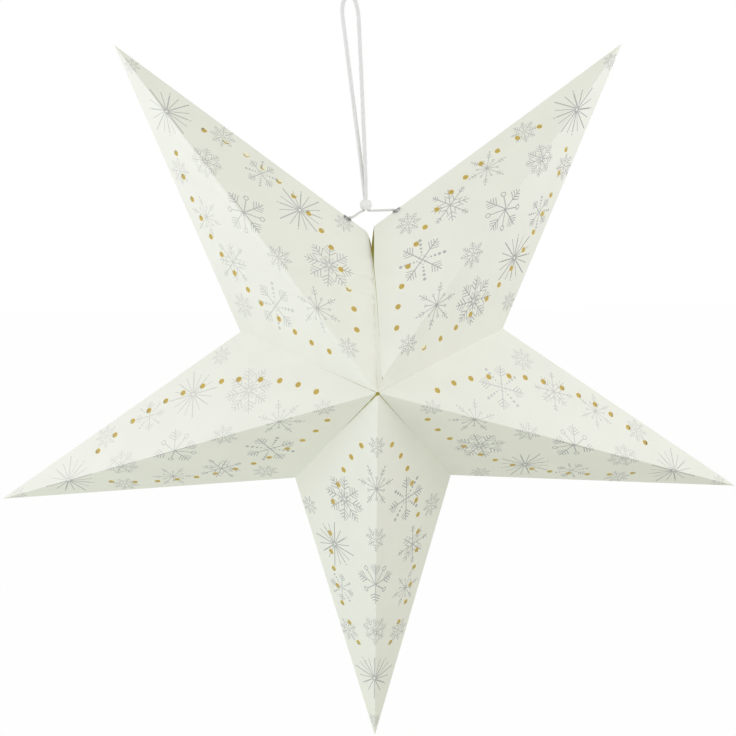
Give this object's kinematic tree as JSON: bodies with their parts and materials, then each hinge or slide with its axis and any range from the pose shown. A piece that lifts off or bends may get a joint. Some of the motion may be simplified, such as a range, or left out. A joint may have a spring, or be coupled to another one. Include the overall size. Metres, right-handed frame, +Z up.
{
  "type": "paper star lantern",
  "caption": "Hollow five-pointed paper star that folds flat like a fan, with punched holes, printed snowflakes and a cord loop to hang it by",
  "frame": {"origin": "highest point inside the hanging loop, where a hook bears", "axes": "+Z up, +X to the right as seen from the front, -Y out of the front face"},
  "size_m": [0.5977, 0.1926, 0.6],
  "materials": {
    "printed_paper": "matt ivory card with silver-grey print",
    "plain_paper": "matt ivory card",
    "gold_tissue": "gold-yellow tissue",
    "eyelet_metal": "plain grey metal",
    "bead_plastic": "white",
    "loop_cord": "white braid with silver thread",
    "tie_cord": "white twisted cord"
  },
  "bodies": {
    "hanger": {"hanging_loop": "loop_cord", "bead": "bead_plastic", "tie_cord_right": "tie_cord", "eyelet_right": "eyelet_metal", "washer_right": "eyelet_metal", "knot_right": "tie_cord"},
    "top_right_front_a": {"top_right_front_a": "printed_paper", "top_right_front_a_lining": "gold_tissue"},
    "top_right_back_a": {"top_right_back_a": "printed_paper", "top_right_back_a_lining": "gold_tissue"},
    "top_right_front_b": {"top_right_front_b": "printed_paper", "top_right_front_b_lining": "gold_tissue"},
    "top_right_back_b": {"top_right_back_b": "printed_paper", "top_right_back_b_lining": "gold_tissue"},
    "right_front_a": {"right_front_a": "printed_paper", "right_front_a_lining": "gold_tissue"},
    "right_back_a": {"right_back_a": "printed_paper", "right_back_a_lining": "gold_tissue"},
    "right_front_b": {"right_front_b": "printed_paper", "right_front_b_lining": "gold_tissue"},
    "right_back_b": {"right_back_b": "printed_paper", "right_back_b_lining": "gold_tissue"},
    "bottom_front_a": {"bottom_front_a": "printed_paper", "bottom_front_a_lining": "gold_tissue"},
    "bottom_back_a": {"bottom_back_a": "printed_paper", "bottom_back_a_lining": "gold_tissue"},
    "bottom_front_b": {"bottom_front_b": "printed_paper", "bottom_front_b_lining": "gold_tissue"},
    "bottom_back_b": {"bottom_back_b": "printed_paper", "bottom_back_b_lining": "gold_tissue"},
    "left_front_a": {"left_front_a": "printed_paper", "left_front_a_lining": "gold_tissue"},
    "left_back_a": {"left_back_a": "printed_paper", "left_back_a_lining": "gold_tissue"},
    "left_front_b": {"left_front_b": "printed_paper", "left_front_b_lining": "gold_tissue"},
    "left_back_b": {"left_back_b": "printed_paper", "left_back_b_lining": "gold_tissue"},
    "top_left_front_a": {"top_left_front_a": "printed_paper", "top_left_front_a_lining": "gold_tissue"},
    "top_left_back_a": {"top_left_back_a": "printed_paper", "top_left_back_a_lining": "gold_tissue"},
    "top_left_front_b": {"top_left_front_b": "printed_paper", "top_left_front_b_lining": "gold_tissue"},
    "top_left_back_b": {"top_left_back_b": "printed_paper", "top_left_back_b_lining": "gold_tissue"},
    "valley_right_upper_front_flange": {"valley_right_upper_front_flange": "plain_paper"},
    "valley_right_upper_back_flange": {"valley_right_upper_back_flange": "plain_paper"},
    "valley_right_lower_front_flange": {"valley_right_lower_front_flange": "plain_paper"},
    "valley_right_lower_back_flange": {"valley_right_lower_back_flange": "plain_paper"},
    "valley_left_lower_front_flange": {"valley_left_lower_front_flange": "plain_paper"},
    "valley_left_lower_back_flange": {"valley_left_lower_back_flange": "plain_paper"},
    "valley_left_upper_front_flange": {"valley_left_upper_front_flange": "plain_paper"},
    "valley_left_upper_back_flange": {"valley_left_upper_back_flange": "plain_paper"},
    "left_tie": {"eyelet_left": "eyelet_metal", "washer_left": "eyelet_metal", "knot_left": "tie_cord", "tie_cord_left": "tie_cord"}
  },
  "joints": [
    {"name": "fan_fold", "type": "hinge", "parent": "hanger", "child": "top_right_front_a", "pos_m": [0.11295, 0, -0.09893], "axis": [-0.8122, 0, -0.5834], "range_deg": [0, 40.37]},
    {"name": "crease_top_right_back_a", "type": "hinge", "parent": "hanger", "child": "top_right_back_a", "pos_m": [0.11295, 0, -0.09893], "axis": [0.8122, 0, 0.5834], "range_deg": [0, 40.37]},
    {"name": "ridge_top_right", "type": "hinge", "parent": "top_right_front_a", "child": "top_right_front_b", "pos_m": [0.11167, -0.04773, -0.15607], "axis": [0.5832, 0.294, 0.7573], "range_deg": [0, 82.06]},
    {"name": "crease_top_right_b", "type": "hinge", "parent": "top_right_front_b", "child": "top_right_back_b", "pos_m": [0.16413, 0, -0.14004], "axis": [-0.3752, 0, -0.927], "range_deg": [0, 76.93]},
    {"name": "valley_right_upper", "type": "hinge", "parent": "top_right_front_b", "child": "right_front_a", "pos_m": [0.06742, -0.04875, -0.26562], "axis": [-0.7141, -0.666, -0.2156], "range_deg": [0, 114.02]},
    {"name": "flange_right_upper_front", "type": "hinge", "parent": "top_right_front_b", "child": "valley_right_upper_front_flange", "pos_m": [0.06742, -0.04875, -0.26562], "axis": [-0.7141, -0.666, -0.2156], "range_deg": [0, 57.01]},
    {"name": "flange_right_upper_back", "type": "hinge", "parent": "top_right_back_b", "child": "valley_right_upper_back_flange", "pos_m": [0.06742, 0.04875, -0.26562], "axis": [0.7141, -0.666, 0.2156], "range_deg": [0, 57.01]},
    {"name": "crease_right_a", "type": "hinge", "parent": "right_front_a", "child": "right_back_a", "pos_m": [0.21746, 0, -0.3167], "axis": [0.8255, 0, -0.5645], "range_deg": [0, 76.93]},
    {"name": "ridge_right", "type": "hinge", "parent": "right_front_a", "child": "right_front_b", "pos_m": [0.16489, -0.04771, -0.33238], "axis": [0.9048, 0.294, -0.308], "range_deg": [0, 79.99]},
    {"name": "crease_right_b", "type": "hinge", "parent": "right_front_b", "child": "right_back_b", "pos_m": [0.19698, 0, -0.37687], "axis": [-0.9984, 0, 0.0564], "range_deg": [0, 76.93]},
    {"name": "valley_right_lower", "type": "hinge", "parent": "right_front_b", "child": "bottom_front_a", "pos_m": [0.04693, -0.04875, -0.3258], "axis": [-0.4342, -0.666, 0.6065], "range_deg": [0, 114.02]},
    {"name": "flange_right_lower_front", "type": "hinge", "parent": "right_front_b", "child": "valley_right_lower_front_flange", "pos_m": [0.04693, -0.04875, -0.3258], "axis": [-0.4342, -0.666, 0.6065], "range_deg": [0, 57.01]},
    {"name": "flange_right_lower_back", "type": "hinge", "parent": "right_back_b", "child": "valley_right_lower_back_flange", "pos_m": [0.04693, 0.04875, -0.3258], "axis": [0.4342, -0.666, -0.6065], "range_deg": [0, 57.01]},
    {"name": "crease_bottom_a", "type": "hinge", "parent": "bottom_front_a", "child": "bottom_back_a", "pos_m": [0.04693, 0, -0.4843], "axis": [-0.2683, 0, -0.9633], "range_deg": [0, 76.93]},
    {"name": "ridge_bottom", "type": "hinge", "parent": "bottom_front_a", "child": "bottom_front_b", "pos_m": [0.01515, -0.04771, -0.43958], "axis": [0, 0.294, -0.9558], "range_deg": [0, 79.99]},
    {"name": "crease_bottom_b", "type": "hinge", "parent": "bottom_front_b", "child": "bottom_back_b", "pos_m": [-0.01663, 0, -0.4843], "axis": [-0.2683, 0, 0.9633], "range_deg": [0, 76.93]},
    {"name": "valley_left_lower", "type": "hinge", "parent": "bottom_front_b", "child": "left_front_a", "pos_m": [-0.01663, -0.04875, -0.3258], "axis": [0.4342, -0.666, 0.6065], "range_deg": [0, 114.02]},
    {"name": "flange_left_lower_front", "type": "hinge", "parent": "bottom_front_b", "child": "valley_left_lower_front_flange", "pos_m": [-0.01663, -0.04875, -0.3258], "axis": [0.4342, -0.666, 0.6065], "range_deg": [0, 57.01]},
    {"name": "flange_left_lower_back", "type": "hinge", "parent": "bottom_back_b", "child": "valley_left_lower_back_flange", "pos_m": [-0.01663, 0.04875, -0.3258], "axis": [-0.4342, -0.666, -0.6065], "range_deg": [0, 57.01]},
    {"name": "crease_left_a", "type": "hinge", "parent": "left_front_a", "child": "left_back_a", "pos_m": [-0.16668, 0, -0.37687], "axis": [-0.9984, 0, -0.0564], "range_deg": [0, 76.93]},
    {"name": "ridge_left", "type": "hinge", "parent": "left_front_a", "child": "left_front_b", "pos_m": [-0.13459, -0.04771, -0.33238], "axis": [-0.9048, 0.294, -0.308], "range_deg": [0, 79.99]},
    {"name": "crease_left_b", "type": "hinge", "parent": "left_front_b", "child": "left_back_b", "pos_m": [-0.18716, 0, -0.3167], "axis": [0.8255, 0, 0.5645], "range_deg": [0, 76.93]},
    {"name": "valley_left_upper", "type": "hinge", "parent": "left_front_b", "child": "top_left_front_a", "pos_m": [-0.03712, -0.04875, -0.26562], "axis": [0.7141, -0.666, -0.2156], "range_deg": [0, 114.02]},
    {"name": "flange_left_upper_front", "type": "hinge", "parent": "left_front_b", "child": "valley_left_upper_front_flange", "pos_m": [-0.03712, -0.04875, -0.26562], "axis": [0.7141, -0.666, -0.2156], "range_deg": [0, 57.01]},
    {"name": "flange_left_upper_back", "type": "hinge", "parent": "left_back_b", "child": "valley_left_upper_back_flange", "pos_m": [-0.03712, 0.04875, -0.26562], "axis": [-0.7141, -0.666, 0.2156], "range_deg": [0, 57.01]},
    {"name": "crease_top_left_a", "type": "hinge", "parent": "top_left_front_a", "child": "top_left_back_a", "pos_m": [-0.13383, 0, -0.14004], "axis": [-0.3752, 0, 0.927], "range_deg": [0, 76.93]},
    {"name": "ridge_top_left", "type": "hinge", "parent": "top_left_front_a", "child": "top_left_front_b", "pos_m": [-0.08136, -0.04771, -0.15608], "axis": [-0.5832, 0.294, 0.7573], "range_deg": [0, 80.18]},
    {"name": "crease_top_left_b", "type": "hinge", "parent": "top_left_front_b", "child": "top_left_back_b", "pos_m": [-0.08318, 0, -0.1012], "axis": [0.8015, 0, -0.598], "range_deg": [0, 77.29]},
    {"name": "left_tie_crease", "type": "hinge", "parent": "top_left_front_b", "child": "left_tie", "pos_m": [-0.08318, 0, -0.1012], "axis": [0.8015, 0, -0.598], "range_deg": [0, 38.65]}
  ],
  "couplings": [
    {"joint": "crease_top_right_back_a", "follows": "fan_fold", "ratio": 1},
    {"joint": "ridge_top_right", "follows": "fan_fold", "ratio": 2.0328},
    {"joint": "crease_top_right_b", "follows": "fan_fold", "ratio": 1.9056},
    {"joint": "valley_right_upper", "follows": "fan_fold", "ratio": 2.8246},
    {"joint": "flange_right_upper_front", "follows": "fan_fold", "ratio": 1.4123},
    {"joint": "flange_right_upper_back", "follows": "fan_fold", "ratio": 1.4123},
    {"joint": "crease_right_a", "follows": "fan_fold", "ratio": 1.9056},
    {"joint": "ridge_right", "follows": "fan_fold", "ratio": 1.9814},
    {"joint": "crease_right_b", "follows": "fan_fold", "ratio": 1.9056},
    {"joint": "valley_right_lower", "follows": "fan_fold", "ratio": 2.8246},
    {"joint": "flange_right_lower_front", "follows": "fan_fold", "ratio": 1.4123},
    {"joint": "flange_right_lower_back", "follows": "fan_fold", "ratio": 1.4123},
    {"joint": "crease_bottom_a", "follows": "fan_fold", "ratio": 1.9056},
    {"joint": "ridge_bottom", "follows": "fan_fold", "ratio": 1.9814},
    {"joint": "crease_bottom_b", "follows": "fan_fold", "ratio": 1.9056},
    {"joint": "valley_left_lower", "follows": "fan_fold", "ratio": 2.8246},
    {"joint": "flange_left_lower_front", "follows": "fan_fold", "ratio": 1.4123},
    {"joint": "flange_left_lower_back", "follows": "fan_fold", "ratio": 1.4123},
    {"joint": "crease_left_a", "follows": "fan_fold", "ratio": 1.9056},
    {"joint": "ridge_left", "follows": "fan_fold", "ratio": 1.9814},
    {"joint": "crease_left_b", "follows": "fan_fold", "ratio": 1.9056},
    {"joint": "valley_left_upper", "follows": "fan_fold", "ratio": 2.8246},
    {"joint": "flange_left_upper_front", "follows": "fan_fold", "ratio": 1.4123},
    {"joint": "flange_left_upper_back", "follows": "fan_fold", "ratio": 1.4123},
    {"joint": "crease_top_left_a", "follows": "fan_fold", "ratio": 1.9056},
    {"joint": "ridge_top_left", "follows": "fan_fold", "ratio": 1.9863},
    {"joint": "crease_top_left_b", "follows": "fan_fold", "ratio": 1.9146},
    {"joint": "left_tie_crease", "follows": "fan_fold", "ratio": 0.95729}
  ]
}
